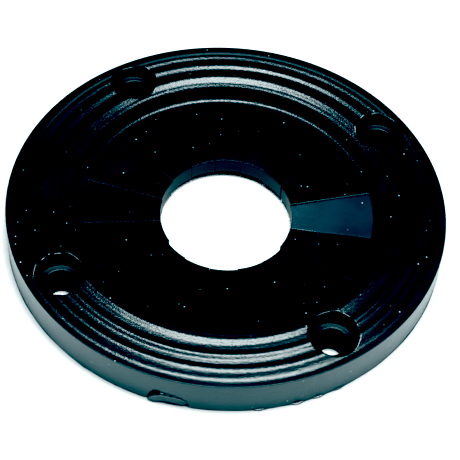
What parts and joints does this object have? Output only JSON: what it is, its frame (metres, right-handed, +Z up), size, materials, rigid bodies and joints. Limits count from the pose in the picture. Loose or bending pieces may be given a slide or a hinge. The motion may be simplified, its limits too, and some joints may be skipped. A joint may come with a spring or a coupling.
{
  "type": "toilet flange",
  "caption": "Moulded rubber toilet flange: a ridged ring with bolt wells, and slit fingers that fold around a pipe and spring back.",
  "frame": {"origin": "on the flange's axis, at its flat underside", "axes": "+Z up along the axis of the pipe, +X 35 degrees clockwise of a bolt well seen from above, and 10 degrees anticlockwise of a slit; the torn mould gate is 259 degrees anticlockwise of +X"},
  "size_m": [0.179, 0.179, 0.0184],
  "materials": {
    "ridged_rubber": "gloss",
    "finger_rubber": "gloss",
    "flash_rubber": "satin",
    "torn_rubber": "matte"
  },
  "bodies": {
    "flange": {"ridged_ring": "ridged_rubber", "mould_flash": "flash_rubber", "torn_gate_tongue": "torn_rubber"},
    "finger_01": {"finger_01": "finger_rubber"},
    "finger_02": {"finger_02": "finger_rubber"},
    "finger_03": {"finger_03": "finger_rubber"},
    "finger_04": {"finger_04": "finger_rubber"},
    "finger_05": {"finger_05": "finger_rubber"},
    "finger_06": {"finger_06": "finger_rubber"},
    "finger_07": {"finger_07": "finger_rubber"},
    "finger_08": {"finger_08": "finger_rubber"},
    "finger_09": {"finger_09": "finger_rubber"},
    "finger_10": {"finger_10": "finger_rubber"},
    "finger_11": {"finger_11": "finger_rubber"},
    "finger_12": {"finger_12": "finger_rubber"},
    "finger_13": {"finger_13": "finger_rubber"},
    "finger_14": {"finger_14": "finger_rubber"},
    "finger_15": {"finger_15": "finger_rubber"},
    "finger_16": {"finger_16": "finger_rubber"}
  },
  "joints": [
    {"name": "finger_01_flex", "type": "hinge", "parent": "flange", "child": "finger_01", "pos_m": [0.05549, 0.00121, 0.0078], "axis": [0.0218, -0.9998, 0], "range_deg": [-45, 65], "stiffness_Nm_per_rad": 0.1},
    {"name": "finger_02_flex", "type": "hinge", "parent": "flange", "child": "finger_02", "pos_m": [0.0508, 0.02235, 0.0078], "axis": [0.4027, -0.9153, 0], "range_deg": [-45, 65], "stiffness_Nm_per_rad": 0.1},
    {"name": "finger_03_flex", "type": "hinge", "parent": "flange", "child": "finger_03", "pos_m": [0.03838, 0.04009, 0.0078], "axis": [0.7224, -0.6915, 0], "range_deg": [-45, 65], "stiffness_Nm_per_rad": 0.1},
    {"name": "finger_04_flex", "type": "hinge", "parent": "flange", "child": "finger_04", "pos_m": [0.02012, 0.05173, 0.0078], "axis": [0.932, -0.3624, 0], "range_deg": [-45, 65], "stiffness_Nm_per_rad": 0.1},
    {"name": "finger_05_flex", "type": "hinge", "parent": "flange", "child": "finger_05", "pos_m": [-0.00121, 0.05549, 0.0078], "axis": [0.9998, 0.0218, 0], "range_deg": [-45, 65], "stiffness_Nm_per_rad": 0.1},
    {"name": "finger_06_flex", "type": "hinge", "parent": "flange", "child": "finger_06", "pos_m": [-0.02235, 0.0508, 0.0078], "axis": [0.9153, 0.4027, 0], "range_deg": [-45, 65], "stiffness_Nm_per_rad": 0.1},
    {"name": "finger_07_flex", "type": "hinge", "parent": "flange", "child": "finger_07", "pos_m": [-0.04009, 0.03838, 0.0078], "axis": [0.6915, 0.7224, 0], "range_deg": [-45, 65], "stiffness_Nm_per_rad": 0.1},
    {"name": "finger_08_flex", "type": "hinge", "parent": "flange", "child": "finger_08", "pos_m": [-0.05173, 0.02012, 0.0078], "axis": [0.3624, 0.932, 0], "range_deg": [-45, 65], "stiffness_Nm_per_rad": 0.1},
    {"name": "finger_09_flex", "type": "hinge", "parent": "flange", "child": "finger_09", "pos_m": [-0.05549, -0.00121, 0.0078], "axis": [-0.0218, 0.9998, 0], "range_deg": [-45, 65], "stiffness_Nm_per_rad": 0.1},
    {"name": "finger_10_flex", "type": "hinge", "parent": "flange", "child": "finger_10", "pos_m": [-0.0508, -0.02235, 0.0078], "axis": [-0.4027, 0.9153, 0], "range_deg": [-45, 65], "stiffness_Nm_per_rad": 0.1},
    {"name": "finger_11_flex", "type": "hinge", "parent": "flange", "child": "finger_11", "pos_m": [-0.03838, -0.04009, 0.0078], "axis": [-0.7224, 0.6915, 0], "range_deg": [-45, 65], "stiffness_Nm_per_rad": 0.1},
    {"name": "finger_12_flex", "type": "hinge", "parent": "flange", "child": "finger_12", "pos_m": [-0.02012, -0.05173, 0.0078], "axis": [-0.932, 0.3624, 0], "range_deg": [-45, 65], "stiffness_Nm_per_rad": 0.1},
    {"name": "finger_13_flex", "type": "hinge", "parent": "flange", "child": "finger_13", "pos_m": [0.00121, -0.05549, 0.0078], "axis": [-0.9998, -0.0218, 0], "range_deg": [-45, 65], "stiffness_Nm_per_rad": 0.1},
    {"name": "finger_14_flex", "type": "hinge", "parent": "flange", "child": "finger_14", "pos_m": [0.02235, -0.0508, 0.0078], "axis": [-0.9153, -0.4027, 0], "range_deg": [-45, 65], "stiffness_Nm_per_rad": 0.1},
    {"name": "finger_15_flex", "type": "hinge", "parent": "flange", "child": "finger_15", "pos_m": [0.04009, -0.03838, 0.0078], "axis": [-0.6915, -0.7224, 0], "range_deg": [-45, 65], "stiffness_Nm_per_rad": 0.1},
    {"name": "finger_16_flex", "type": "hinge", "parent": "flange", "child": "finger_16", "pos_m": [0.05173, -0.02012, 0.0078], "axis": [-0.3624, -0.932, 0], "range_deg": [-45, 65], "stiffness_Nm_per_rad": 0.1}
  ]
}
